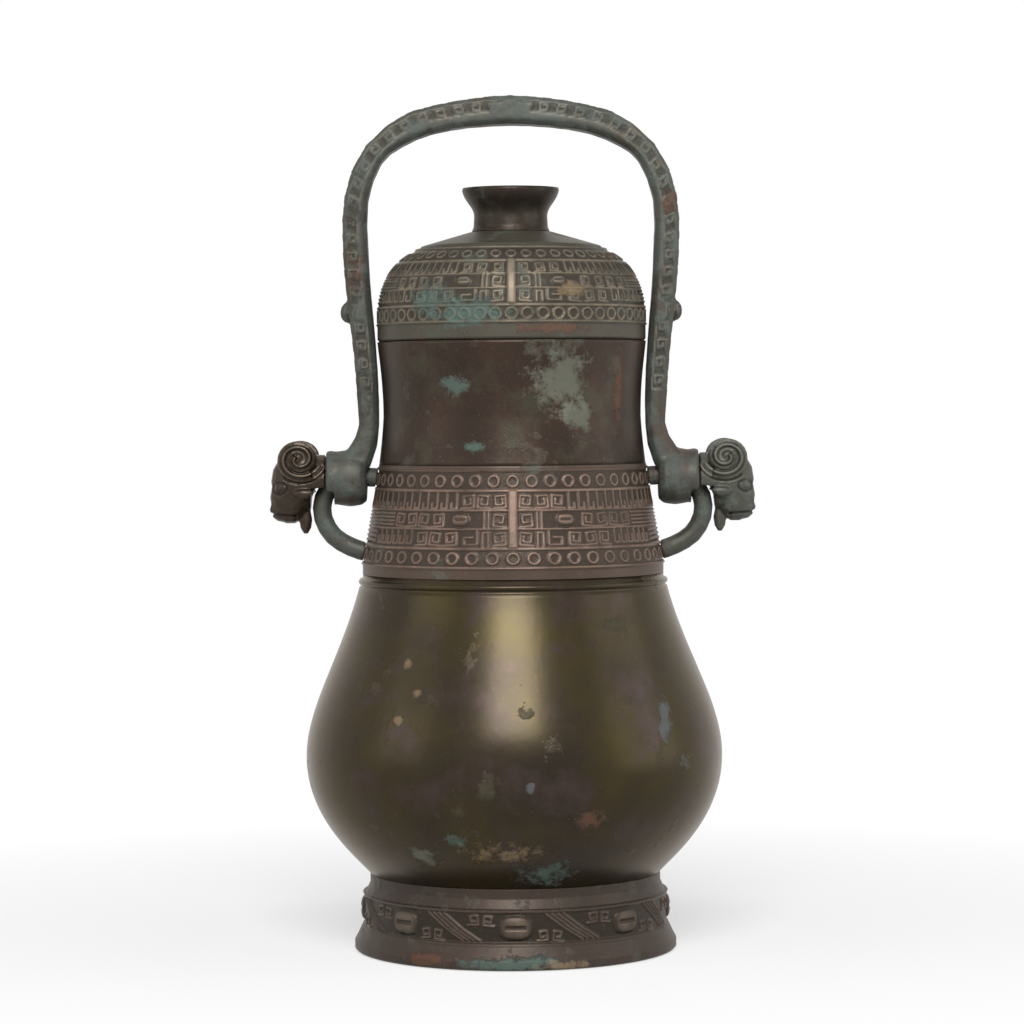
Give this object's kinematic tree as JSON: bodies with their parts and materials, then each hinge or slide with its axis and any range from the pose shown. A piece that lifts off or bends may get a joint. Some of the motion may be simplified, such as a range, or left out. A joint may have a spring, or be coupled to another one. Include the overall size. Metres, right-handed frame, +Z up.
{
  "type": "ritual wine vessel",
  "caption": "Round bronze hu wine vessel with a pear-shaped body on a ring foot, ram-headed swinging bail and a domed lift-off cover with a cup-shaped knob.",
  "frame": {"origin": "centre of the standing ring's lower face", "axes": "+Z up along the vessel's axis, X through the two lugs, -Y towards the viewer of the picture"},
  "size_m": [0.2284, 0.1958, 0.4],
  "materials": {
    "body_bronze": "worn olive-brown bronze with a soft polish",
    "foot_bronze": "dark patinated bronze with green crust",
    "cover_bronze": "tan-brown patinated bronze",
    "patinated_bronze": "matt grey-green patina"
  },
  "bodies": {
    "vessel": {"vessel_body": "body_bronze", "foot_ring": "foot_bronze", "left_lug": "patinated_bronze", "right_lug": "patinated_bronze"},
    "swinging_bail": {"bail": "patinated_bronze", "left_ram_head": "patinated_bronze", "right_ram_head": "patinated_bronze"},
    "cover": {"cover_dome": "cover_bronze", "cover_flange": "cover_bronze", "cover_knob": "cover_bronze"}
  },
  "joints": [
    {"name": "bail_swing", "type": "hinge", "parent": "vessel", "child": "swinging_bail", "pos_m": [0, 0, 0.2213], "axis": [1, 0, 0], "range_deg": [-35, 35]},
    {"name": "cover_lift", "type": "slide", "parent": "vessel", "child": "cover", "axis": [0, 0, 1], "range_m": [0, 0.024]}
  ]
}
